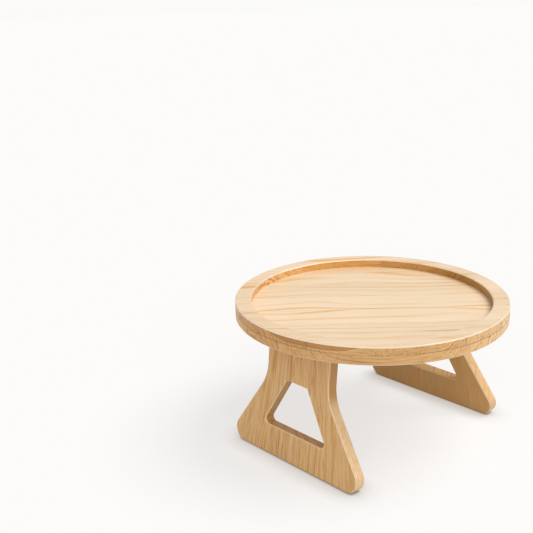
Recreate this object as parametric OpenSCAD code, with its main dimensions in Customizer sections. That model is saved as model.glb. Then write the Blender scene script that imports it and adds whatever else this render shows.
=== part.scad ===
// Round wooden tray on two splayed legs that straddle a sofa arm and fold under the tray
// Millimetres, +Z up, origin on the floor under the centre of the tray
// X runs from leg to leg and Y along the hinge pins

/* [Tray] */
// Diameter of the tray
tray_d = 300; // [270:5:340]
// Width of the rim's flat top
rim_w = 18; // [14:1:24]
// Thickness of the rim layer, which is the depth of the recess
rim_t = 9; // [6:0.5:14]
// Thickness of the base layer
base_t = 10; // [9.5:0.5:14]
// Number of staves glued side by side in the base layer
stave_n = 7; // [5:1:9]
// Angle of the grain from the X axis
grain_a = -43; // [-90:1:90]

/* [Edges] */
// Width of the flat that eases the sharp edges of the tray and the legs
ease = 1; // [0.5:0.1:1.5]

/* [Legs] */
// Height of the tray's top above the floor
top_h = 160; // [145:1:190]
// Distance from the tray's centre to a leg's outer face, at the underside
leg_out = 112; // [102:1:122]
// Thickness of a leg
leg_t = 13; // [11:0.5:16]
// Angle by which each leg leans outwards
splay = 6; // [0:0.5:9]
// Width of the neck under the tray
neck_w = 89; // [84:1:110]
// Width of the foot before its corners are rounded
foot_w = 204; // [180:2:220]
// Height at which the flare would meet the neck without its curve
flare_h = 88; // [70:1:95]
// Radius of the curve from the neck into the flare
neck_r = 50; // [20:1:60]
// Radius of the foot's corners
foot_r = 14; // [6:0.5:20]

/* [Window in each leg] */
// Height of the window's lower edge
window_low = 34; // [28:1:42]
// Height of the window's upper edge
window_high = 91; // [75:1:96]
// Width of the window's lower edge
window_low_w = 93; // [70:1:100]
// Width of the window's upper edge
window_high_w = 30; // [20:1:36]
// Radius of the lower corners
window_low_r = 5; // [2:0.5:9]
// Radius of the upper corners
window_high_r = 3; // [2:0.5:6]

/* [Hinges] */
// Length of a hinge
hinge_l = 25; // [22:1:27]
// Distance from the pin to a leaf's free edge
leaf_w = 14; // [11:0.5:18]
// Thickness of a leaf
leaf_t = 1.2; // [1.15:0.05:1.5]
// Outer radius of the knuckles
knuckle_r = 2.5; // [2.2:0.1:3]
// Radius of the pin
pin_r = 1.1; // [0.8:0.05:1.3]
// Radius of the pin's peened ends
pin_head_r = 1.9; // [1.6:0.1:2.1]
// Thickness of the pin's peened ends
pin_head_t = 0.6; // [0.4:0.1:1]
// Length of the knuckle in the middle, which turns with the leg
mid_knuckle_l = 9; // [7:0.5:11]
// Radius of the leaves' corners
leaf_r = 2; // [0.5:0.5:3]
// Distance from the middle of the tray to the middle of a hinge, along Y
hinge_y = 27; // [20:1:28]

/* [Screws] */
// Radius of the shank
screw_r = 1.2; // [0.9:0.05:1.3]
// Radius of the countersunk head
head_r = 2.3; // [1.9:0.05:2.3]
// Length from the head's face to the point
screw_l = 9; // [7:0.5:9.5]
// Length of the point
tip_l = 2.5; // [1.5:0.5:4]
// Distance between the two screws in a leaf
screw_gap = 16; // [13:0.5:17]
// Distance from the pin to the screws
screw_off = 8.5; // [7.5:0.5:9]
// Length of the cross recess in the head
cross_l = 2.6; // [2:0.1:3]
// Width of the cross recess
cross_w = 0.6; // [0.4:0.1:0.8]
// Depth of the cross recess
cross_h = 0.6; // [0.4:0.1:0.8]

/* [Clearances] */
// Radial clearance of the pin in the knuckles
pin_fit = 0.05; // [0.03:0.01:0.1]
// Gap between neighbouring knuckles
knuckle_gap = 0.3; // [0.2:0.05:0.5]
// Gap between the knuckles and the wood that turns past them
swing_gap = 0.2; // [0.15:0.05:0.4]
// Clearance of the screws in their holes
screw_fit = 0.05; // [0.03:0.01:0.1]
// Room in a pilot hole past the screw's point
pilot_room = 0.4; // [0.2:0.1:0.5]

/* [Hidden] */
$fn = 96;
cut = 1;
pine = "#e8c9a0";
pine_dark = "#dcb98c";
leg_wood = "#dfbd92";
zinc = "#c3c6c8";

tray_r = tray_d / 2;
recess_r = tray_r - rim_w;
floor_z = top_h - rim_t;
under_z = floor_z - base_t;
stave_w = tray_d / stave_n;

leg_l = under_z / cos(splay);
bevel_l = leg_t * tan(splay);

pin_off = knuckle_r + swing_gap;
pin_z = under_z - pin_off;
inner_face_x = leg_out - leg_t / cos(splay);
pin_x = inner_face_x + pin_off * tan(splay) - pin_off / cos(splay);
bore_r = pin_r + pin_fit;
head_h = head_r - screw_r;

SIDES = ["left", "right"];
ENDS = ["front", "rear"];

// Lines between the staves, counted from the front; the outermost lie past the tray
function base_line(i) = i == 0 ? -tray_d : i == stave_n ? tray_d : i * stave_w - tray_r;
function rim_line(i) = i == 0 ? -tray_d : i == stave_n + 1 ? tray_d : (i - 0.5) * stave_w - tray_r;

// Corner arithmetic for an outline whose corners are arcs, with its points anticlockwise
function unit(v) = v / norm(v);
function at(points, i) = points[(i + len(points)) % len(points)];
function back_dir(points, i) = unit(at(points, i - 1) - at(points, i));
function next_dir(points, i) = unit(at(points, i + 1) - at(points, i));
function half_angle(points, i) = acos(back_dir(points, i) * next_dir(points, i)) / 2;
function is_convex(points, i) = cross(next_dir(points, i), back_dir(points, i)) > 0;
function arc_centre(points, i, r) =
    at(points, i) + unit(back_dir(points, i) + next_dir(points, i)) * r / sin(half_angle(points, i));
function arc_ends(points, i, r) =
    let (d = r / tan(half_angle(points, i)))
    [at(points, i) + back_dir(points, i) * d, at(points, i) + next_dir(points, i) * d];

module rounded_outline(points, radii) {
    corners = [for (i = [0:len(points) - 1]) i];
    difference() {
        union() {
            polygon([for (i = corners) each radii[i] == 0 ? [points[i]] : arc_ends(points, i, radii[i])]);
            for (i = corners)
                if (radii[i] > 0 && is_convex(points, i))
                    translate(arc_centre(points, i, radii[i])) circle(radii[i]);
        }
        for (i = corners)
            if (radii[i] > 0 && !is_convex(points, i))
                translate(arc_centre(points, i, radii[i])) circle(radii[i]);
    }
}

// Runs its children on the chosen side, as drawn for the right one
module on_side(side) {
    mirror([side == "left" ? 1 : 0, 0, 0]) children();
}

// The leg's own frame, with X square to its faces and the pin at the origin
module in_leg_frame() {
    translate([pin_x, 0, pin_z]) rotate([0, -splay, 0]) children();
}

// Strip along the grain between two stave lines, on both sides of the middle or on one
module grain_strip(y0, y1, side = "both") {
    x0 = side == "right" ? 0 : -tray_d;
    x1 = side == "left" ? 0 : tray_d;
    rotate(grain_a)
        translate([x0, y0, under_z - cut])
            cube([x1 - x0, y1 - y0, base_t + rim_t + 2 * cut]);
}

module base_disc() {
    rotate_extrude()
        polygon([[0, under_z], [tray_r - ease, under_z], [tray_r, under_z + ease], [tray_r, floor_z], [0, floor_z]]);
}

module rim_ring() {
    rotate_extrude()
        polygon([
            [recess_r, floor_z], [tray_r, floor_z], [tray_r, top_h - ease], [tray_r - ease, top_h],
            [recess_r + ease, top_h], [recess_r, top_h - ease]
        ]);
}

// Countersunk wood screw that points along +Z, with its head's face at the origin
module screw() {
    difference() {
        rotate_extrude()
            polygon([[0, 0], [head_r, 0], [screw_r, head_h], [screw_r, screw_l - tip_l], [0, screw_l]]);
        for (a = [0, 90])
            rotate(a) translate([-cross_l / 2, -cross_w / 2, -cut]) cube([cross_l, cross_w, cross_h + cut]);
    }
}

// Space for that screw, through a countersunk leaf and into a pilot hole in the wood
module screw_space() {
    translate([0, 0, -cut]) cylinder(r = screw_r + screw_fit, h = screw_l + pilot_room + cut);
    translate([0, 0, -screw_fit]) cylinder(r1 = head_r + 2 * screw_fit, r2 = screw_r, h = head_h + 2 * screw_fit);
}

// Places of a leaf's two screws, in the plane of the leaf, with the pin along Y at the origin
module at_leaf_screws() {
    for (y = [-1, 1] * screw_gap / 2)
        translate([-screw_off, y, 0]) children();
}

// Tray leaf's frame: the pin at the origin, the leaf inwards of it and against the underside
module at_tray_screws(end) {
    translate([pin_x, end == "front" ? -hinge_y : hinge_y, under_z - leaf_t]) at_leaf_screws() children();
}

// The same screws turned to point outwards into a leg
module at_leg_screws(end) {
    in_leg_frame()
        translate([pin_off - leaf_t, end == "front" ? -hinge_y : hinge_y, 0])
            rotate([0, 90, 0]) mirror([1, 0, 0]) at_leaf_screws() children();
}

module base_stave(i) {
    color(i % 2 == 0 ? pine : pine_dark)
        difference() {
            intersection() {
                base_disc();
                grain_strip(base_line(i - 1), base_line(i));
            }
            for (side = SIDES, end = ENDS)
                on_side(side) at_tray_screws(end) screw_space();
        }
}

module rim_stave(row, side = "both") {
    color(row % 2 == 0 ? pine : pine_dark)
        intersection() {
            rim_ring();
            grain_strip(rim_line(row), rim_line(row + 1), side);
        }
}

// Board lying on the XY plane, with the edges of its outline and its window eased on both faces
module leg_board() {
    half_neck = neck_w / 2;
    half_foot = foot_w / 2;
    top = leg_l + bevel_l + cut;
    outline = [
        [-half_foot, 0], [half_foot, 0], [half_neck, flare_h], [half_neck, top], [-half_neck, top],
        [-half_neck, flare_h]
    ];
    outline_r = [foot_r, foot_r, neck_r, 0, 0, neck_r];
    window = [
        [-window_low_w / 2, window_low], [window_low_w / 2, window_low],
        [window_high_w / 2, window_high], [-window_high_w / 2, window_high]
    ];
    window_r = [window_low_r, window_low_r, window_high_r, window_high_r];
    difference() {
        linear_extrude(leg_t) difference() {
            rounded_outline(outline, outline_r);
            rounded_outline(window, window_r);
        }
        for (face = [0, 1])
            translate([0, 0, face * leg_t]) mirror([0, 0, face]) {
                edge_waste(outline, outline_r, true);
                edge_waste(window, window_r, false);
            }
    }
}

// What easing takes off along an outline on the XY plane, for wood inside or outside the outline
// and above the plane
module edge_waste(points, radii, wood_inside) {
    corners = [for (i = [0:len(points) - 1]) i];
    ends = [for (i = corners) radii[i] == 0 ? [points[i], points[i]] : arc_ends(points, i, radii[i])];
    for (i = corners) {
        run = at(ends, i + 1)[0] - ends[i][1];
        translate(ends[i][1]) rotate(atan2(run[1], run[0]))
            rotate([90, 0, 90]) linear_extrude(norm(run)) waste_section(wood_inside);
        if (radii[i] > 0) {
            convex = is_convex(points, i);
            centre = arc_centre(points, i, radii[i]);
            start = ends[i][convex ? 0 : 1] - centre;
            translate(centre) rotate(atan2(start[1], start[0]))
                rotate_extrude(angle = 180 - 2 * half_angle(points, i))
                    translate([radii[i], 0]) waste_section(convex != wood_inside);
        }
    }
}

// Section of that waste, with the edge at the origin and the wood on the +X side or the other
module waste_section(wood_at_plus) {
    reach = ease + cut;
    mirror([wood_at_plus ? 0 : 1, 0]) polygon([[reach, -cut], [-cut, -cut], [-cut, reach]]);
}

// A board leaning outwards, cut level at the floor and where it butts on the underside
module leg(side) {
    color(leg_wood)
        on_side(side) difference() {
            intersection() {
                translate([leg_out, 0, under_z])
                    rotate([0, -splay, 0])
                        translate([-leg_t, 0, -leg_l])
                            rotate([90, 0, 90]) leg_board();
                translate([0, -foot_w, 0]) cube([leg_out + tray_d, 2 * foot_w, under_z]);
            }
            for (end = ENDS)
                at_leg_screws(end) screw_space();
        }
}

// Barrel along Y from y0 to y1
module knuckle(y0, y1) {
    translate([0, y1, 0]) rotate([90, 0, 0]) cylinder(r = knuckle_r, h = y1 - y0);
}

module pin_bore() {
    translate([0, hinge_l / 2 + cut, 0]) rotate([90, 0, 0]) cylinder(r = bore_r, h = hinge_l + 2 * cut);
}

// Flat of a leaf, lying under the XY plane and reaching from the pin to -X
module leaf_plate() {
    translate([0, 0, -leaf_t])
        linear_extrude(leaf_t)
            rounded_outline(
                [[-leaf_w, -hinge_l / 2], [0, -hinge_l / 2], [0, hinge_l / 2], [-leaf_w, hinge_l / 2]],
                [leaf_r, 0, 0, leaf_r]
            );
}

// Clears the plate beside a knuckle of the other leaf
module knuckle_slot(y0, y1) {
    reach = knuckle_r + knuckle_gap;
    translate([-reach, y0, -reach]) cube([reach + cut, y1 - y0, 2 * reach]);
}

// Leaf with the two outer knuckles, drawn about the pin with its plate on the wood above
module outer_leaf() {
    inner_y = mid_knuckle_l / 2 + knuckle_gap;
    difference() {
        union() {
            difference() {
                translate([0, 0, pin_off]) leaf_plate();
                knuckle_slot(-inner_y, inner_y);
            }
            knuckle(-hinge_l / 2, -inner_y);
            knuckle(inner_y, hinge_l / 2);
        }
        pin_bore();
    }
}

// Leaf with the middle knuckle, drawn the same way
module middle_leaf() {
    half = mid_knuckle_l / 2;
    difference() {
        union() {
            difference() {
                translate([0, 0, pin_off]) leaf_plate();
                knuckle_slot(half, hinge_l / 2 + cut);
                knuckle_slot(-hinge_l / 2 - cut, -half);
            }
            knuckle(-half, half);
        }
        pin_bore();
    }
}

module tray_leaf(side, end) {
    color(zinc)
        on_side(side) difference() {
            translate([pin_x, end == "front" ? -hinge_y : hinge_y, pin_z]) outer_leaf();
            at_tray_screws(end) screw_space();
        }
}

module leg_leaf(side, end) {
    color(zinc)
        on_side(side) difference() {
            in_leg_frame()
                translate([0, end == "front" ? -hinge_y : hinge_y, 0])
                    rotate([0, 90, 0]) mirror([1, 0, 0]) middle_leaf();
            at_leg_screws(end) screw_space();
        }
}

// Pin with both ends peened over the outer knuckles
module hinge_pin(side, end) {
    color(zinc)
        on_side(side)
            translate([pin_x, end == "front" ? -hinge_y : hinge_y, pin_z])
                rotate([90, 0, 0]) {
                    cylinder(r = pin_r, h = hinge_l, center = true);
                    for (z = [-hinge_l / 2 - pin_head_t, hinge_l / 2])
                        translate([0, 0, z]) cylinder(r = pin_head_r, h = pin_head_t);
                }
}

module tray_screws() {
    color(zinc)
        for (side = SIDES, end = ENDS)
            on_side(side) at_tray_screws(end) screw();
}

module leg_screws(side) {
    color(zinc)
        for (end = ENDS)
            on_side(side) at_leg_screws(end) screw();
}

for (i = [1:stave_n])
    base_stave(i);
rim_stave(0);  // rim_stave_front
rim_stave(stave_n);  // rim_stave_back
for (side = SIDES, i = [1:stave_n - 1])
    rim_stave(i, side);
leg("left");  // left_leg
leg("right");  // right_leg
for (side = SIDES, end = ENDS) {
    tray_leaf(side, end);
    leg_leaf(side, end);
    hinge_pin(side, end);
}
tray_screws();
leg_screws("left");  // left_leg_screws
leg_screws("right");  // right_leg_screws
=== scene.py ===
import math

import bmesh
import bpy
from mathutils import Matrix, Vector

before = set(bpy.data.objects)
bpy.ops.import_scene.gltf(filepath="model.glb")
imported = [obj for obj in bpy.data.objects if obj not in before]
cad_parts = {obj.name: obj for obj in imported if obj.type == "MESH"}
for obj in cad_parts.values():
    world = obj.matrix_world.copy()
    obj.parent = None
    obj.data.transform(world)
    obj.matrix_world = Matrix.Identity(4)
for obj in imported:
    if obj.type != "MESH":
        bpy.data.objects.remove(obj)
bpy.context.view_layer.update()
scene = bpy.context.scene
scene.view_settings.view_transform = "Standard"


# The photograph's viewpoint, found by fitting the outlines of the tray and of the near leg.
# It looks down at the tray across its grain, from in front and a little to the left.
VIEW_AZIMUTH = math.radians(-42.64)
VIEW_ELEVATION = math.radians(17.43)
VIEW_ROLL = math.radians(1.57)
FOCAL_PX = 841.55
IMAGE_PX = 533
SENSOR_MM = 36.0
# Where the frame's origin lies from the camera, to its right, below it and ahead of it, in metres
ORIGIN_RIGHT, ORIGIN_BELOW, ORIGIN_AHEAD = 0.11927, 0.18378, 0.98196

ahead = Vector((
    -math.sin(VIEW_AZIMUTH) * math.cos(VIEW_ELEVATION),
    math.cos(VIEW_AZIMUTH) * math.cos(VIEW_ELEVATION),
    -math.sin(VIEW_ELEVATION),
))
level_right = Vector((math.cos(VIEW_AZIMUTH), math.sin(VIEW_AZIMUTH), 0.0))
level_down = ahead.cross(level_right)
right = level_right * math.cos(VIEW_ROLL) + level_down * math.sin(VIEW_ROLL)
down = level_down * math.cos(VIEW_ROLL) - level_right * math.sin(VIEW_ROLL)

camera_data = bpy.data.cameras.new("camera")
camera_data.sensor_width = SENSOR_MM
camera_data.lens = FOCAL_PX * SENSOR_MM / IMAGE_PX
camera = bpy.data.objects.new("camera", camera_data)
turn = Matrix((right, -down, -ahead)).transposed().to_4x4()
place = -(right * ORIGIN_RIGHT + down * ORIGIN_BELOW + ahead * ORIGIN_AHEAD)
camera.matrix_world = Matrix.Translation(place) @ turn
scene.collection.objects.link(camera)
scene.camera = camera


# Base layer of the tray: seven staves of pale pine, edge-glued into a panel and turned to a disc.
# Each stave is cut from its own part of a log, so its growth rings curve and run in their own way.
# The face is sanded fine and lacquered clear; the turned edge is deeper in colour, partly from
# its own grain and partly as painted shade.
TRAY_R = 0.15
STAVE_W = 2 * TRAY_R / 7
SEAM_Z = 0.151                              # the glue line between the base and the rim
GRAIN_ANGLE = math.radians(-43)             # from the leg-to-leg axis to the grain
GLUE_W, OPEN_GLUE_W = 0.0003, 0.0008        # half a joint's width, on the faces and on the edge
RING_W, END_RING_W = 0.0038, 0.0062         # between growth rings, on the faces and on end grain
RELIEF = 0.0003                             # how deep the grain stands at its full height
FACE_EARLY = (0.825, 0.638, 0.43, 1)        # early and late wood of the sanded faces
FACE_LATE = (0.72, 0.39, 0.12, 1)
RESIN = (0.78, 0.46, 0.20, 1)               # the resin-rich stave at the back
LEFT_SHADED_EARLY = (0.88, 0.475, 0.155, 1)        # the turned edge, from its left end to its right: painted shade at the left, painted light at the right
TURNED_EARLY = (0.80, 0.475, 0.20, 1)
RIGHT_LIT_EARLY = (0.94, 0.63, 0.31, 1)
TURNED_LATE = (0.58, 0.24, 0.055, 1)
WALL_SHADED_EARLY = (0.74, 0.40, 0.12, 1)          # the wall of the recess, along the grain, painted deeper as shade
WALL_LIT_LEFT = (0.86, 0.58, 0.29, 1)           # and on its end grain, from left to right: painted light at the left, painted shade at the right
WALL_SHADED_RIGHT = (0.50, 0.26, 0.05, 1)
WALL_SHADED_LATE = (0.40, 0.18, 0.04, 1)
GLUE = (0.34, 0.12, 0.02, 1)                # joints and seams, with the dust that they hold
EDGE_WEAR_AND_HIGHLIGHT = (0.97, 0.81, 0.59, 1)            # an eased edge, rubbed pale with wear and painted with a highlight


def add_node(tree, kind, inputs=None, **settings):
    """A new node in the tree, with its settings, and its inputs set or joined to other outputs."""
    node = tree.nodes.new("ShaderNode" + kind)
    for name, value in settings.items():
        setattr(node, name, value)
    for key, value in (inputs or {}).items():
        if isinstance(value, bpy.types.NodeSocket):
            tree.links.new(value, node.inputs[key])
        else:
            node.inputs[key].default_value = value
    return node


def calc(tree, operation, *values):
    """The result of a Math node."""
    return add_node(tree, "Math", dict(enumerate(values)), operation=operation).outputs[0]


def times(tree, first, *others):
    """The product of two values or more."""
    for other in others:
        first = calc(tree, "MULTIPLY", first, other)
    return first


def raised(tree, start, amount, by):
    """A start value, raised by an amount times a number."""
    return calc(tree, "MULTIPLY_ADD", amount, by, start)


def between(tree, amount, low, high):
    """The number that lies between low and high by an amount of 0 to 1."""
    return raised(tree, low, amount, high - low)


def centred(tree, value):
    """A value of 0 to 1, moved to lie round 0."""
    return calc(tree, "SUBTRACT", value, 0.5)


def fade(tree, value, span, low=0.0, high=1.0):
    """Low up to the start of a span, high from its end, and a smooth change between them."""
    start, end = span
    inputs = {"Value": value, "From Min": start, "From Max": end, "To Min": low, "To Max": high}
    return add_node(tree, "MapRange", inputs, interpolation_type="SMOOTHSTEP").outputs["Result"]


def fade_out(tree, value, span):
    """1 up to the start of a span, and 0 from its end."""
    return fade(tree, value, span, 1.0, 0.0)


def tint(tree, amount, colour, other):
    """One colour turned by an amount into another."""
    return add_node(tree, "Mix", {0: amount, 6: colour, 7: other}, data_type="RGBA").outputs[2]


def brighten(tree, colour, factor):
    """A colour or a vector times a factor."""
    return add_node(tree, "VectorMath", {0: colour, "Scale": factor}, operation="SCALE").outputs[0]


def stretch(tree, vector, scale):
    """A vector with each of its axes scaled by itself."""
    return add_node(tree, "VectorMath", {0: vector, 1: scale}, operation="MULTIPLY").outputs[0]


def turned(tree, vector, rotation):
    """A vector turned by angles about the three axes."""
    return add_node(tree, "Mapping", {"Vector": vector, "Rotation": rotation}).outputs[0]


def axes_of(tree, vector):
    """A vector's X, Y and Z."""
    return add_node(tree, "SeparateXYZ", {"Vector": vector}).outputs


def noise(tree, point, scale, detail, own=None):
    """Noise with a scale for each axis, and its own pattern for each value of own, where given."""
    inputs = {"Vector": stretch(tree, point, scale), "Scale": 1.0, "Detail": detail}
    if own is None:
        return add_node(tree, "TexNoise", inputs).outputs
    return add_node(tree, "TexNoise", inputs | {"W": own}, noise_dimensions="4D").outputs


def chance_for(tree, number):
    """Random values that stay the same for a number."""
    return add_node(tree, "TexWhiteNoise", {"W": number}, noise_dimensions="1D").outputs


def start_group(name, inputs, outputs):
    """A node group with named inputs, each with a kind and a value, and outputs with a kind."""
    group = bpy.data.node_groups.new(name, "ShaderNodeTree")
    for title, (kind, value) in inputs.items():
        socket = group.interface.new_socket(title, in_out="INPUT", socket_type="NodeSocket" + kind)
        socket.default_value = value
    for title, kind in outputs.items():
        group.interface.new_socket(title, in_out="OUTPUT", socket_type="NodeSocket" + kind)
    return group, group.nodes.new("NodeGroupInput").outputs


def end_group(group, results):
    """Joins what the group has worked out to its outputs."""
    outputs = group.nodes.new("NodeGroupOutput").inputs
    for title, value in results.items():
        group.links.new(value, outputs[title])
    return group


def placed(tree, group, inputs):
    """The outputs of a group that is placed in the tree with these inputs."""
    return add_node(tree, "Group", inputs, node_tree=group).outputs


# Growth rings, with lengths in metres and noise scales to the metre
DRIFT = (5, 12, 12)                         # how often the rings bend, along and across the board
DRIFT_REACH = 4.0                           # the widest bend, as so many times the wander
PITH_LEAN = 0.07                            # across for each metre along, from lean to lean
PITH_DEPTHS = 0.7, 0.6                      # the least, and what chance adds to it
YEARS, YEARS_SHIFT = 90.0, 2.2              # how often growth changes, and the rings that it shifts
LATE_RISE, LATE_END = (0.5, 0.86), (0.88, 1.0)      # as shares of a ring, from inside to outside
RING_STEP = 7.31                            # gives the rings of each board their own chances
FAINTEST, RARE_STRONG = 0.15, 1.6           # a ring's least strength, and how rare strong ones are
ALONG_RING, ALONG_FADE, ALONG_LEAST = 9.0, (0.3, 0.6), 0.25         # how it comes and goes
BOARD_INPUTS = {
    "Point": ("Vector", (0, 0, 0)),
    "Board": ("Float", 0.0),
    "Pith Across": ("Float", 0.02),
    "Pith Below": ("Float", 0.08),
    "Ring Width": ("Float", 0.004),
    "Wander": ("Float", 0.004),
}


def growth_rings():
    """Rings round a pith under each board: the late wood at a point, with X along the grain."""
    group, given = start_group(
        "growth_rings", BOARD_INPUTS, {"Late Wood": "Float", "Board Tone": "Float"}
    )
    axes = axes_of(group, given["Point"])
    chance = chance_for(group, given["Board"])["Color"]
    chance = add_node(group, "SeparateColor", {"Color": chance}).outputs
    drift = noise(group, given["Point"], DRIFT, 1.5, given["Board"])["Color"]
    drift = add_node(group, "SeparateColor", {"Color": drift}).outputs
    reach = times(group, given["Wander"], DRIFT_REACH)

    # The pith lies to one side of the board, leans from end to end, and wanders with the drift
    side = raised(group, -1.0, chance["Red"], 2.0)
    side = calc(group, "ADD", side, calc(group, "SIGN", side))
    lean = times(group, centred(group, chance["Green"]), PITH_LEAN)
    pith = raised(group, times(group, side, 0.5, given["Pith Across"]), axes["X"], lean)
    across = calc(group, "SUBTRACT", axes["Y"], pith)
    across = raised(group, across, centred(group, drift["Red"]), reach)
    least, more = PITH_DEPTHS
    below = raised(group, least, chance["Blue"], more)
    depth = raised(group, axes["Z"], given["Pith Below"], below)
    depth = raised(group, depth, centred(group, drift["Green"]), reach)
    squares = calc(group, "ADD", times(group, across, across), times(group, depth, depth))
    radius = calc(group, "SQRT", squares)

    # Each ring darkens slowly and ends sharply, and good and poor years make it wide or narrow
    years = {"W": times(group, radius, YEARS), "Scale": 1.0}
    years = add_node(group, "TexNoise", years, noise_dimensions="1D").outputs[0]
    count = calc(group, "DIVIDE", radius, given["Ring Width"])
    count = raised(group, count, years, YEARS_SHIFT)
    through = calc(group, "FRACT", count)
    late = fade(group, through, LATE_RISE)
    late = times(group, late, fade_out(group, through, LATE_END))

    # Every ring has its own strength, which comes and goes along the board
    ring = raised(group, calc(group, "FLOOR", count), given["Board"], RING_STEP)
    strength = calc(group, "POWER", chance_for(group, ring)["Value"], RARE_STRONG)
    strength = between(group, strength, FAINTEST, 1.0)
    along = {"X": times(group, axes["X"], ALONG_RING), "Y": ring}
    along = add_node(group, "CombineXYZ", along).outputs[0]
    fading = {"Vector": along, "Scale": 1.0, "Detail": 1.0}
    fading = add_node(group, "TexNoise", fading, noise_dimensions="2D").outputs[0]
    strength = times(group, strength, fade(group, fading, ALONG_FADE, ALONG_LEAST))
    return end_group(group, {
        "Late Wood": times(group, late, strength),
        "Board Tone": raised(group, -1.0, chance["Blue"], 2.0),
    })


# Fibres, as how many there are to a metre along and across the grain, and how detailed they are
STREAKS = (18, 560, 3.0), (4, 190, 2.0), (60, 620, 2.0)
STREAK_STRENGTH = 0.45
DARK_LINES, LINE_FADE = (26, 480, 2.0), (0.33, 0.41)
PORES, PORE_FADE = (160, 1900, 1.0), (0.66, 0.78)


def wood_fibre():
    """Streaks and fine dark lines along the grain, specks on end grain, and small open pores."""
    group, given = start_group(
        "wood_fibre",
        {"Point": ("Vector", (0, 0, 0))},
        {"Streaks": "Float", "Lines": "Float", "Pores": "Float"},
    )

    def drawn_out(along, across, detail):
        return noise(group, given["Point"], (along, across, across), detail)[0]

    streaks = drawn_out(*STREAKS[0])
    for streak in STREAKS[1:]:
        streaks = calc(group, "ADD", streaks, drawn_out(*streak))
    middle = len(STREAKS) / 2
    return end_group(group, {
        "Streaks": raised(group, -middle * STREAK_STRENGTH, streaks, STREAK_STRENGTH),
        "Lines": fade_out(group, drawn_out(*DARK_LINES), LINE_FADE),
        "Pores": fade(group, drawn_out(*PORES), PORE_FADE),
    })


# How far each of these turns the wood to its late colour, brightens it, or shows glue on it
FIBRE_DARK, LINE_DARK, PORE_DARK, BOARD_DARK = 1.6, 0.3, 0.3, 2.0
FIBRE_PALE, BLOTCH_PALE, JOINT_GLUE = 0.5, 0.16, 0.4
BLOTCHES = (8, 30, 30)                      # to the metre, along and across the board
# The roughness, and what each of these adds to it
ROUGH, FIBRE_ROUGH, PORE_ROUGH, LATE_ROUGH, EASED_ROUGH = 0.44, 0.5, 0.2, -0.06, -0.06
# How high each stands, beside streaks that count in full
LATE_HIGH, PORE_HIGH, JOINT_HIGH = 0.35, -0.5, -0.6
# The thin coat all over, and the bead of lacquer on eased edges whose wear and painted highlight
# pass so much
COAT, BEAD, BEAD_LEAST_HIGHLIGHT = 0.08, 0.45, 0.1


def clear_pine():
    """Lacquered pine: its colour, gloss and height from rings, fibres, joints and eased edges."""
    group, given = start_group(
        "clear_pine",
        BOARD_INPUTS | {
            "Early Wood": ("Color", FACE_EARLY),
            "Late Wood": ("Color", FACE_LATE),
            "Tone Range": ("Float", 0.06),
            "Ring Contrast": ("Float", 1.0),
            "Fibre Contrast": ("Float", 0.5),
            "Seam": ("Float", 0.0),
            "Edge Wear And Highlight": ("Float", 0.45),
            "Joint": ("Float", 0.0),
            "Eased Edge": ("Float", 0.0),
        },
        {"Color": "Color", "Roughness": "Float", "Height": "Float", "Lacquer": "Float"},
    )
    rings = placed(group, growth_rings(), {title: given[title] for title in BOARD_INPUTS})
    fibre = placed(group, wood_fibre(), {"Point": given["Point"]})
    blotch = noise(group, given["Point"], BLOTCHES, 2.0, given["Board"])[0]
    tone = times(group, rings["Board Tone"], given["Tone Range"])

    # Late wood, dark fibres, pores and a dark board turn the early colour into the late one
    dark_fibre = calc(group, "MINIMUM", fibre["Streaks"], 0.0)
    dark = times(group, rings["Late Wood"], given["Ring Contrast"])
    dark = raised(group, dark, dark_fibre, times(group, given["Fibre Contrast"], -FIBRE_DARK))
    dark = raised(group, dark, fibre["Pores"], PORE_DARK)
    dark = raised(group, dark, fibre["Lines"], times(group, given["Fibre Contrast"], LINE_DARK))
    dark = raised(group, dark, calc(group, "MINIMUM", tone, 0.0), -BOARD_DARK)
    colour = tint(group, dark, given["Early Wood"], given["Late Wood"])

    # Pale fibres, a pale board and soft blotches brighten it, and glue and the eased edges' wear
    # and painted highlight lie over it
    pale_fibre = calc(group, "MAXIMUM", fibre["Streaks"], 0.0)
    shade = calc(group, "ADD", calc(group, "MAXIMUM", tone, 0.0), 1.0)
    shade = raised(group, shade, pale_fibre, times(group, given["Fibre Contrast"], FIBRE_PALE))
    shade = raised(group, shade, centred(group, blotch), BLOTCH_PALE)
    colour = brighten(group, colour, shade)
    glue = calc(group, "MAXIMUM", times(group, given["Joint"], JOINT_GLUE), given["Seam"])
    colour = tint(group, glue, colour, GLUE)
    edge_wear_and_highlight = times(group, given["Eased Edge"], given["Edge Wear And Highlight"])

    rough = raised(group, ROUGH, fibre["Streaks"], FIBRE_ROUGH)
    rough = raised(group, rough, rings["Late Wood"], LATE_ROUGH)
    rough = raised(group, rough, fibre["Pores"], PORE_ROUGH)
    height = raised(group, fibre["Streaks"], rings["Late Wood"], LATE_HIGH)
    height = raised(group, height, fibre["Pores"], PORE_HIGH)
    bead = calc(group, "GREATER_THAN", given["Edge Wear And Highlight"], BEAD_LEAST_HIGHLIGHT)
    bead = times(group, given["Eased Edge"], bead)
    return end_group(group, {
        "Color": tint(group, edge_wear_and_highlight, colour, EDGE_WEAR_AND_HIGHLIGHT),
        "Roughness": raised(group, rough, given["Eased Edge"], EASED_ROUGH),
        "Height": raised(group, height, given["Joint"], JOINT_HIGH),
        "Lacquer": raised(group, COAT, bead, BEAD),
    })


# How far a surface faces up or down, from 0 to 1: what is upright, and the flats of eased edges
UPRIGHT, FLAT_FROM, FLAT_TO = (0.3, 0.6), (0.55, 0.62), (0.8, 0.87)


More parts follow.
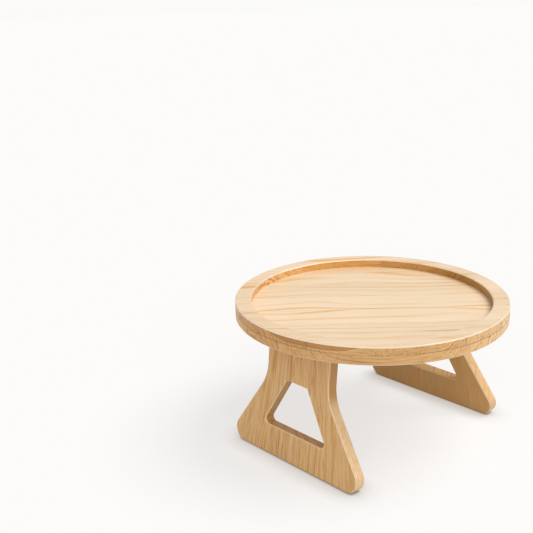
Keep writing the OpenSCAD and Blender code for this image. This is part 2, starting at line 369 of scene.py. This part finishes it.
def eased_edge():
    """Tells the flat along an eased edge, and what is turned or sawn upright, from the faces."""
    group, given = start_group(
        "eased_edge", {"Facing": ("Float", 0.0)}, {"Eased Edge": "Float", "Turned": "Float"}
    )
    facing = calc(group, "ABSOLUTE", given["Facing"])
    eased = times(group, fade(group, facing, FLAT_FROM), fade_out(group, facing, FLAT_TO))
    return end_group(group, {"Eased Edge": eased, "Turned": fade_out(group, facing, UPRIGHT)})


RIM_STAVES, FAR_STAVES = 31.0, 13.0         # set the numbers of the rim's staves apart
GLUE_FULL = 0.33                            # the share of a joint's width with the most glue


def stave_layout():
    """Tells a layer's staves apart: the place within a stave, its own number, and the joints."""
    group, given = start_group(
        "stave_layout",
        {
            "Position": ("Vector", (0, 0, 0)),
            "Shift": ("Float", 0.0),
            "Ring": ("Float", 0.0),
            "Glue Width": ("Float", GLUE_W),
        },
        {"Point": "Vector", "Board": "Float", "Joint": "Float"},
    )
    axes = axes_of(group, given["Position"])
    count = raised(group, TRAY_R / STAVE_W, axes["Y"], 1 / STAVE_W)
    count = calc(group, "ADD", count, given["Shift"])
    within = raised(group, -STAVE_W / 2, calc(group, "FRACT", count), STAVE_W)
    point = {"X": axes["X"], "Y": within, "Z": axes["Z"]}

    # The rim's staves on its far half are others than those on its near half
    row = calc(group, "MAXIMUM", calc(group, "FLOOR", count), 0.0)
    board = raised(group, row, given["Ring"], RIM_STAVES)
    off_centre = calc(group, "ABSOLUTE", axes["Y"])
    far_half = calc(group, "GREATER_THAN", axes["X"], 0.0)
    on_side = calc(group, "LESS_THAN", off_centre, TRAY_R - STAVE_W / 2)
    other = times(group, far_half, on_side, given["Ring"])
    board = raised(group, board, other, FAR_STAVES)

    gap = times(group, calc(group, "PINGPONG", count, 0.5), STAVE_W)
    full = times(group, given["Glue Width"], GLUE_FULL)
    joint = fade_out(group, gap, (full, given["Glue Width"]))
    has_joint = calc(group, "LESS_THAN", off_centre, TRAY_R - STAVE_W / 4)
    return end_group(group, {
        "Point": add_node(group, "CombineXYZ", point).outputs[0],
        "Board": board,
        "Joint": times(group, joint, has_joint),
    })


PINE = clear_pine()
EDGES = eased_edge()
STAVES = stave_layout()


def lacquered(name, board):
    """A clear-lacquered wood whose board() gives what the pine group takes."""
    material = bpy.data.materials.new(name)
    material.use_nodes = True
    tree = material.node_tree
    shader = tree.nodes["Principled BSDF"]
    shader.inputs["Specular IOR Level"].default_value = 0.35
    shader.inputs["Coat Roughness"].default_value = 0.3
    pine = placed(tree, PINE, board(tree))
    tree.links.new(pine["Color"], shader.inputs["Base Color"])
    tree.links.new(pine["Roughness"], shader.inputs["Roughness"])
    tree.links.new(pine["Lacquer"], shader.inputs["Coat Weight"])
    relief = {"Height": pine["Height"], "Strength": 0.35, "Distance": RELIEF}
    tree.links.new(add_node(tree, "Bump", relief).outputs[0], shader.inputs["Normal"])
    return material


OUTSIDE = (0.145, 0.147)                    # the turned edge lies farther out than this
END_GRAIN = (0.35, 0.95)                    # how far an edge faces along the grain, from 0 to 1
SEAM_FADE = (0.0002, 0.0007)                # from the seam's middle, up and down
RESIN_SPAN = (0.104, 0.135)                 # across the grain, towards the back
# Along the grain, from the tray's middle: where each look turns into the next
SEAM_SPAN, SEAM_FAINT, SEAM_CLEAR = (0.03, 0.075), 0.12, 0.62
OPEN_SPAN, OPEN_CLEAR, OPEN_FAINT = (-0.14, -0.07), 0.8, 0.25
WALL_SHADE_SPAN, WALL_LATE_SHADE_SPAN = (-0.11, 0.08), (-0.09, 0.02)
LEFT_SHADE_SPAN, RIGHT_LIGHT_SPAN = (-0.14, -0.08), (0.03, 0.12)
# The eased edges' wear and painted highlight: where it changes, its strength at the left end, and
# elsewhere
EDGE_HIGHLIGHT_SPAN, LEFT_EDGE_HIGHLIGHT, EDGE_HIGHLIGHT = (-0.13, 0.03), 0.65, 0.25


def tray_board(shift, ring, front=None):
    """What the pine group takes for a layer of the tray, whose staves all lie along its grain."""
    def board(tree):
        coordinates = add_node(tree, "TexCoord").outputs
        position = turned(tree, coordinates["Object"], (0, 0, -GRAIN_ANGLE))
        facing = axes_of(tree, turned(tree, coordinates["Normal"], (0, 0, -GRAIN_ANGLE)))
        along, back, height = axes_of(tree, position)
        flat = stretch(tree, position, (1, 1, 0))
        reach = add_node(tree, "VectorMath", {0: flat}, operation="LENGTH").outputs["Value"]
        outside = fade(tree, reach, OUTSIDE)
        edge = placed(tree, EDGES, {"Facing": facing["Z"]})
        end_grain = fade(tree, calc(tree, "ABSOLUTE", facing["X"]), END_GRAIN)
        end_grain = times(tree, end_grain, edge["Turned"])
        inner_wall = times(tree, edge["Turned"], calc(tree, "SUBTRACT", 1.0, outside))
        stave = placed(tree, STAVES, {
            "Position": position,
            "Shift": shift,
            "Ring": ring,
            "Glue Width": between(tree, outside, GLUE_W, OPEN_GLUE_W),
        })

        # The glue line round the edge shows most on end grain, and the stave joints at the left
        from_seam = calc(tree, "ABSOLUTE", calc(tree, "SUBTRACT", height, SEAM_Z))
        seam = times(tree, fade_out(tree, from_seam, SEAM_FADE), outside)
        off_middle = calc(tree, "ABSOLUTE", along)
        seam = times(tree, seam, fade(tree, off_middle, SEAM_SPAN, SEAM_FAINT, SEAM_CLEAR))
        open_joint = times(tree, stave["Joint"], times(tree, outside, edge["Turned"]))
        opening = fade(tree, along, OPEN_SPAN, OPEN_CLEAR, OPEN_FAINT)
        seam = calc(tree, "MAXIMUM", seam, times(tree, open_joint, opening))

        # Only the base has the resin-rich stave
        resin = fade(tree, back, RESIN_SPAN, 0.0, 1.0 - ring)
        face_early = tint(tree, times(tree, resin, 0.6), FACE_EARLY, RESIN)
        # The recess wall is painted deeper as shade, most at its right end, and paler at its lit
        # left end
        wall_end_lit_to_shaded = tint(tree, fade(tree, along, WALL_SHADE_SPAN), WALL_LIT_LEFT, WALL_SHADED_RIGHT)
        wall_shaded_early = tint(tree, end_grain, WALL_SHADED_EARLY, wall_end_lit_to_shaded)
        wall_shaded_late = tint(tree, fade(tree, along, WALL_LATE_SHADE_SPAN), TURNED_LATE, WALL_SHADED_LATE)
        # The turned edge is painted deeper at its left end, as shade, and paler at its right end,
        # as light
        rim_shaded_and_lit_early = tint(tree, fade(tree, along, LEFT_SHADE_SPAN), LEFT_SHADED_EARLY, TURNED_EARLY)
        rim_shaded_and_lit_early = tint(tree, fade(tree, along, RIGHT_LIGHT_SPAN), rim_shaded_and_lit_early, RIGHT_LIT_EARLY)
        turned_early = tint(tree, outside, wall_shaded_early, rim_shaded_and_lit_early)
        turned_late = tint(tree, outside, wall_shaded_late, TURNED_LATE)

        point = stave["Point"]
        if front:
            figure = {"Position": position, "Outside": outside, "Early Wood": turned_early}
            figure = placed(tree, front, figure)
            turned_early = figure["Early Wood"]
            curled = {0: point, 1: figure["Curl"]}
            point = add_node(tree, "VectorMath", curled, operation="ADD").outputs[0]
            seam = calc(tree, "MAXIMUM", seam, figure["Heart Line"])
        left_edge_highlight = fade(tree, along, EDGE_HIGHLIGHT_SPAN, LEFT_EDGE_HIGHLIGHT, 0.0)
        return {
            "Point": point,
            "Board": stave["Board"],
            "Pith Across": 0.055,
            "Pith Below": 0.05,
            "Wander": 0.004,
            "Ring Width": between(tree, end_grain, RING_W, END_RING_W),
            "Ring Contrast": raised(tree, raised(tree, 1.3, end_grain, 0.9), resin, 0.6),
            "Fibre Contrast": between(tree, edge["Turned"], 0.6, 1.2),
            "Tone Range": between(tree, edge["Turned"], 0.06, 0.12),
            # Upright faces take the turned edge's deeper colours, which hold painted shade
            "Early Wood": tint(tree, edge["Turned"], face_early, turned_early),
            "Late Wood": tint(tree, edge["Turned"], FACE_LATE, turned_late),
            "Joint": times(tree, stave["Joint"], between(tree, inner_wall, 1.0, 0.4)),
            "Seam": seam,
            "Eased Edge": edge["Eased Edge"],
            "Edge Wear And Highlight": raised(tree, EDGE_HIGHLIGHT, left_edge_highlight, outside),
        }
    return board


def finish_nodes(names, material):
    """Gives CAD pieces their finish, through the slots of their objects."""
    for name in names:
        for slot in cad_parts[name].material_slots:
            slot.link = "OBJECT"
            slot.material = material


base_wood = lacquered("base_wood", tray_board(shift=0.0, ring=0.0))
finish_nodes([f"base_stave_{i}" for i in range(1, 8)], base_wood)


# Rim layer: a ring of fourteen staves, glued on top of the base with its joints over the middle
# of the staves below, and turned with them. Its long flats of edge grain show a wedge of darker
# late wood at the front, and a burr beside it. The eased edges are paler, partly from wear, as
# they are sanded last, and partly as a painted highlight.
FRONT_Y = -0.08                             # nearer than this is the front, across the grain
WEDGE_TOP, WEDGE_DEPTH = 0.1604, 0.0062     # its top just over the rim, and down from there
WEDGE_DEEPENS, WEDGE_THINS = (-0.122, -0.095), (-0.05, -0.02)       # along the grain
WEDGE_EDGE, WEDGE_STRENGTH = (-0.0002, 0.0003), 0.85
LINE_EDGE, LINE_STRENGTH = (0.0001, 0.0006), 0.6
LINE_ENDS = (0.1, 0.3)                      # it fades where the wedge is only so deep, from 0 to 1
BURR_X, BURR_HALF = 0.008, (0.024, 0.031)   # its middle along the grain, and half its length
BURR_FOOT = (SEAM_Z - 0.0002, SEAM_Z + 0.0006)      # where it starts above the glue line
EYES, EYE_R, EYE_STRENGTH = 520.0, (0.16, 0.42), 0.8        # to the metre, and as shares of a cell
WHIRLS, CURL = (330, 330, 330), 0.014       # to the metre, and how far they move the grain
HEART = (0.54, 0.25, 0.065, 1)              # the wedge's late wood
BURR_EYE = (0.42, 0.18, 0.04, 1)


def front_figure():
    """The wedge of late wood on the rim's front edge, and the burr beside it, where fibres curl."""
    group, given = start_group(
        "front_figure",
        {
            "Position": ("Vector", (0, 0, 0)),
            "Outside": ("Float", 0.0),
            "Early Wood": ("Color", TURNED_EARLY),
        },
        {"Early Wood": "Color", "Heart Line": "Float", "Curl": "Vector"},
    )
    along, back, height = axes_of(group, given["Position"])
    front = times(group, calc(group, "LESS_THAN", back, FRONT_Y), given["Outside"])

    # The wedge hangs from the rim's top edge, and a dark line follows its lower side
    deep = fade(group, along, WEDGE_DEEPENS)
    deep = times(group, deep, fade_out(group, along, WEDGE_THINS))
    above = calc(group, "SUBTRACT", height, raised(group, WEDGE_TOP, deep, -WEDGE_DEPTH))
    heart = times(group, fade(group, above, WEDGE_EDGE), front, WEDGE_STRENGTH)
    line = fade(group, calc(group, "ABSOLUTE", above), LINE_EDGE, LINE_STRENGTH, 0.0)
    line = times(group, line, front, fade(group, deep, LINE_ENDS))

    # The burr is a patch as deep as the rim layer, where small eyes lie among curled fibres
    off_burr = calc(group, "ABSOLUTE", calc(group, "SUBTRACT", along, BURR_X))
    burr = times(group, fade_out(group, off_burr, BURR_HALF), front)
    burr = times(group, burr, fade(group, height, BURR_FOOT))
    whirl = noise(group, given["Position"], WHIRLS, 3.0)["Color"]
    whirl = add_node(group, "VectorMath", {0: whirl, 1: (0.5, 0.5, 0.5)}, operation="SUBTRACT")
    eyes = add_node(group, "TexVoronoi", {"Vector": given["Position"], "Scale": EYES}).outputs
    eyes = times(group, fade(group, eyes["Distance"], EYE_R, EYE_STRENGTH, 0.0), burr)

    wood = tint(group, heart, given["Early Wood"], HEART)
    return end_group(group, {
        "Early Wood": tint(group, eyes, wood, BURR_EYE),
        "Heart Line": line,
        "Curl": brighten(group, whirl.outputs[0], times(group, burr, CURL)),
    })


rim_wood = lacquered("rim_wood", tray_board(shift=0.5, ring=1.0, front=front_figure()))
rim_sides = [f"rim_stave_{side}_{i}" for side in ("left", "right") for i in range(1, 7)]
finish_nodes(["rim_stave_front", "rim_stave_back"] + rim_sides, rim_wood)


# Legs: two pine boards with the grain upright, sawn to a neck and a flared foot with a window in
# it. Their edges are eased and they are lacquered like the tray, under which each hangs on two
# hinges. The right leg is painted darker as shade under the tray, and the foot's end is painted
# dark as contact shade.
SPLAY = math.radians(6)
LEG_RING_W, WINDOW_RING_W = 0.0026, 0.0076  # between growth rings, outside and on the window's wall
FAN = 2.6                                   # how fast the grain spreads towards the foot
OUTLINE_SLOPE, OUTLINE = 0.79, 0.09         # how fast the leg narrows, and its half width below
WINDOW_FROM = 0.01                          # up along the board, between the foot and the window
KNEE_SPAN = (0.062, 0.082)                  # up along the board, where its sides turn upright
FOOT_SHADE_SPAN = (0.0008, 0.0013)                # the height up to which the foot's end is painted dark, as contact shade
LEG_BOARDS = 71.0, 3.0                      # give the two legs boards of their own
LEG_EARLY = (0.915, 0.572, 0.258, 1)
LEG_LATE = (0.66, 0.29, 0.055, 1)
RIGHT_LEG_SHADE_EARLY = (0.59, 0.352, 0.13, 1)       # the right leg, painted darker as shade under the tray
SIDE_LIT_EARLY = (0.95, 0.69, 0.41, 1)          # the narrow sides: painted light below the knee, and painted shade from it up, under the tray
NECK_SHADE_EARLY = (0.56, 0.30, 0.10, 1)
WINDOW_SHADE_EARLY = (0.58, 0.32, 0.075, 1)
FOOT_CONTACT_SHADE = (0.34, 0.19, 0.075, 1)


def leg_board(tree):
    """What the pine group takes for the legs, in a leg's own frame, with X up along the board."""
    upright = (0, math.pi / 2 + SPLAY, 0)
    coordinates = add_node(tree, "TexCoord").outputs
    east, north, height = axes_of(tree, coordinates["Object"])
    side = calc(tree, "SIGN", east)
    mirror = add_node(tree, "CombineXYZ", {"X": side, "Y": 1.0, "Z": 1.0}).outputs[0]
    up, across, through = axes_of(
        tree, turned(tree, stretch(tree, coordinates["Object"], mirror), upright)
    )
    facing = axes_of(tree, turned(tree, stretch(tree, coordinates["Normal"], mirror), upright))
    edge = placed(tree, EDGES, {"Facing": facing["Z"]})
    spread = raised(tree, 1.0 + FAN * TRAY_R, up, -FAN)
    point = {"X": up, "Y": calc(tree, "DIVIDE", across, spread), "Z": through}

    # What lies inside the legs' slanted outline is the window's wall
    in_outline = raised(tree, calc(tree, "ABSOLUTE", north), up, OUTLINE_SLOPE)
    window = calc(tree, "LESS_THAN", in_outline, OUTLINE)
    window = times(tree, window, calc(tree, "GREATER_THAN", up, WINDOW_FROM))
    cut_out = times(tree, window, edge["Turned"])
    right_leg = calc(tree, "GREATER_THAN", east, 0.0)
    # The foot's end and its eased edge are painted dark as contact shade, without the edges'
    # painted highlight
    foot_shade = fade_out(tree, height, FOOT_SHADE_SPAN)

    # The right leg is painted darker, on its faces and sides, as shade under the tray
    face_early = tint(tree, right_leg, LEG_EARLY, RIGHT_LEG_SHADE_EARLY)
    # The narrow sides are painted pale below the knee, as light, and deep above it, as shade under
    # the tray
    sawn = tint(tree, fade(tree, up, KNEE_SPAN), SIDE_LIT_EARLY, NECK_SHADE_EARLY)
    # The window's wall is painted deeper, as shade
    sawn = tint(tree, window, sawn, WINDOW_SHADE_EARLY)
    sawn = tint(tree, times(tree, right_leg, 0.6), sawn, RIGHT_LEG_SHADE_EARLY)
    early = tint(tree, edge["Turned"], face_early, sawn)
    sawn_contrast = raised(tree, -0.2, window, 1.15)
    first, step = LEG_BOARDS
    return {
        "Point": add_node(tree, "CombineXYZ", point).outputs[0],
        "Board": raised(tree, first, side, step),
        "Pith Across": 0.14,
        "Pith Below": 0.04,
        "Wander": 0.002,
        "Ring Width": between(tree, cut_out, LEG_RING_W, WINDOW_RING_W),
        "Ring Contrast": raised(tree, 0.8, edge["Turned"], sawn_contrast),
        "Fibre Contrast": between(tree, edge["Turned"], 1.7, 1.0),
        "Early Wood": tint(tree, foot_shade, early, FOOT_CONTACT_SHADE),
        "Late Wood": tint(tree, cut_out, LEG_LATE, WALL_SHADED_LATE),
        "Eased Edge": edge["Eased Edge"],
        "Edge Wear And Highlight": between(tree, foot_shade, 0.45, 0.0),
    }


leg_wood = lacquered("leg_wood", leg_board)
finish_nodes(["left_leg", "right_leg"], leg_wood)


# Hinges: small butt hinges pressed from steel strip, two leaves rolled round a peened pin, and
# zinc-plated, which leaves a pale, faintly brushed grey. None is let into the wood: the leaves
# lie on the underside and on the leg's inner face, and two screws hold each of them.
HINGE_ZINC = (0.60, 0.61, 0.60, 1)
BRUSHING = 0.00005                          # how deep the brushing stands at its full height
CLOUDS, BRUSH_MARKS, SCUFFS = (260, 260, 260), (400, 9000, 400), (1400, 500, 900)   # to the metre
SCUFF_FADE = (0.58, 0.68)
ZINC_ROUGH, BRUSH_ROUGH, SCUFF_ROUGH = 0.28, 0.2, -0.08
SCUFF_PALE, SCUFF_HIGH = 0.12, -0.4


def zinc_plate():
    """Zinc plating: its colour, roughness and height from brushing, cloudy spangle and scuffs."""
    group, given = start_group(
        "zinc_plate",
        {
            "Point": ("Vector", (0, 0, 0)),
            "Plating": ("Color", HINGE_ZINC),
            "Dulling": ("Float", 0.3),
        },
        {"Color": "Color", "Roughness": "Float", "Height": "Float"},
    )
    cloud = noise(group, given["Point"], CLOUDS, 3.0)[0]
    brushed = noise(group, given["Point"], BRUSH_MARKS, 2.0)[0]
    scuffs = fade(group, noise(group, given["Point"], SCUFFS, 2.0)[0], SCUFF_FADE)
    shade = raised(group, 1.0, centred(group, cloud), given["Dulling"])
    shade = raised(group, shade, scuffs, SCUFF_PALE)
    rough = raised(group, ZINC_ROUGH, brushed, BRUSH_ROUGH)
    return end_group(group, {
        "Color": brighten(group, given["Plating"], shade),
        "Roughness": raised(group, rough, scuffs, SCUFF_ROUGH),
        "Height": raised(group, brushed, scuffs, SCUFF_HIGH),
    })


ZINC = zinc_plate()


def plated(name, **look):
    """A zinc-plated steel."""
    material = bpy.data.materials.new(name)
    material.use_nodes = True
    tree = material.node_tree
    shader = tree.nodes["Principled BSDF"]
    shader.inputs["Metallic"].default_value = 1.0
    plate = placed(tree, ZINC, look | {"Point": add_node(tree, "TexCoord").outputs["Object"]})
    tree.links.new(plate["Color"], shader.inputs["Base Color"])
    tree.links.new(plate["Roughness"], shader.inputs["Roughness"])
    relief = {"Height": plate["Height"], "Strength": 0.2, "Distance": BRUSHING}
    tree.links.new(add_node(tree, "Bump", relief).outputs[0], shader.inputs["Normal"])
    return material


hinge_metal = plated("hinge_metal")
for side in ("left", "right"):
    for end in ("front", "rear"):
        pieces = [f"{side}_{end}_{part}" for part in ("tray_leaf", "leg_leaf", "hinge_pin")]
        finish_nodes(pieces, hinge_metal)


# Screws: countersunk cross-head wood screws, cold-headed from steel wire and plated like the
# hinges, with a darker, duller skin. Eight go up into the base, and four into each leg.
SCREW_ZINC = (0.48, 0.48, 0.46, 1)

screw_metal = plated("screw_metal", Plating=SCREW_ZINC, Dulling=0.5)
finish_nodes(["tray_screws", "left_leg_screws", "right_leg_screws"], screw_metal)


# Pale studio: a white sweep with an even white surround, a wide soft key lamp from the right and
# a weaker one from the front left. The sweep keeps the soft shadow and gives back less light than
# it shows, so that the sides in shade stay as deep as in the photograph.
WHITE = (0.965, 0.956, 0.947, 1.0)
SURROUND = (0.945, 0.955, 0.975, 1.0)
SURROUND_STRENGTH = 0.27
SWEEP_WIDTH = 80.0
SWEEP_DROP = 0.0002                         # just under the feet, so that no faces share a plane
SWEEP_GLOW = 0.70                           # the share of its white that no lamp's shadow darkens
NEAR, NEAR_SHADE = 0.026, (0.36, 0.28, 0.21, 1.0)           # the shade this close to the feet
TOUCHING, TOUCHING_SHADE = 0.003, (0.13, 0.10, 0.08, 1.0)
BOUNCE = (0.75, 0.75, 0.75, 1)
EVEN_BOUNCE, EVEN_SHARE = (0.5, 0.5, 0.5, 1), 0.3           # the part that no shadow dims
KEY_FROM, FILL_FROM = (0.4125, -0.3085, 0.857), (-0.46, -0.58, 0.67)


def where_shown(tree):
    """1 where the camera, a reflection or glass meets the surface, and 0 for the light it gives."""
    path = add_node(tree, "LightPath").outputs
    shown = calc(tree, "MAXIMUM", path["Is Camera Ray"], path["Is Glossy Ray"])
    return calc(tree, "MAXIMUM", shown, path["Is Transmission Ray"])


def soft_lamp(name, strength, spread, source):
    """A far lamp as wide as a softbox, which shines from the source's direction."""
    data = bpy.data.lights.new(name, "SUN")
    data.energy = strength
    data.angle = math.radians(spread)
    lamp = bpy.data.objects.new(name, data)
    lamp.matrix_world = Vector(source).to_track_quat("Z", "Y").to_matrix().to_4x4()
    scene.collection.objects.link(lamp)


def mixed(tree, amount, surface, other):
    """One surface turned by an amount into another."""
    return add_node(tree, "MixShader", {0: amount, 1: surface, 2: other}).outputs[0]


soft_lamp("key", strength=1.92, spread=38, source=KEY_FROM)
soft_lamp("fill", strength=1.2, spread=60, source=FILL_FROM)

world = bpy.data.worlds.new("studio")
world.use_nodes = True
scene.world = world
tree = world.node_tree
tree.nodes.clear()
lit = add_node(tree, "Background", {"Color": SURROUND, "Strength": SURROUND_STRENGTH}).outputs[0]
shown = add_node(tree, "Background", {"Color": WHITE, "Strength": 1.0}).outputs[0]
add_node(tree, "OutputWorld", {"Surface": mixed(tree, where_shown(tree), lit, shown)})

form = bmesh.new()
lowered = Matrix.Translation((0, 0, -SWEEP_DROP))
bmesh.ops.create_grid(form, x_segments=1, y_segments=1, size=SWEEP_WIDTH / 2, matrix=lowered)
sweep_mesh = bpy.data.meshes.new("sweep")
form.to_mesh(sweep_mesh)
form.free()
sweep = bpy.data.objects.new("sweep", sweep_mesh)
scene.collection.objects.link(sweep)

sweep_look = bpy.data.materials.new("white_sweep")
sweep_look.use_nodes = True
tree = sweep_look.node_tree
tree.nodes.clear()
# What it gives the object: a dimmer bounce, part of it even under the feet
bounce = add_node(tree, "BsdfDiffuse", {"Color": BOUNCE}).outputs[0]
even = add_node(tree, "Emission", {"Color": EVEN_BOUNCE}).outputs[0]
bounce = mixed(tree, EVEN_SHARE, bounce, even)
# What it shows: white, with the lamps' soft shadow, and darker close to the feet
near = add_node(tree, "AmbientOcclusion", {"Distance": NEAR}).outputs["AO"]
touching = add_node(tree, "AmbientOcclusion", {"Distance": TOUCHING}).outputs["AO"]
white = tint(tree, touching, TOUCHING_SHADE, tint(tree, near, NEAR_SHADE, WHITE))
matt = add_node(tree, "BsdfDiffuse", {"Color": WHITE}).outputs[0]
glow = add_node(tree, "Emission", {"Color": white}).outputs[0]
above = mixed(tree, where_shown(tree), bounce, mixed(tree, SWEEP_GLOW, matt, glow))
# From below it is clear, so that the underside can be seen
from_below = add_node(tree, "NewGeometry").outputs["Backfacing"]
clear = add_node(tree, "BsdfTransparent").outputs[0]
add_node(tree, "OutputMaterial", {"Surface": mixed(tree, from_below, above, clear)})
sweep_mesh.materials.append(sweep_look)
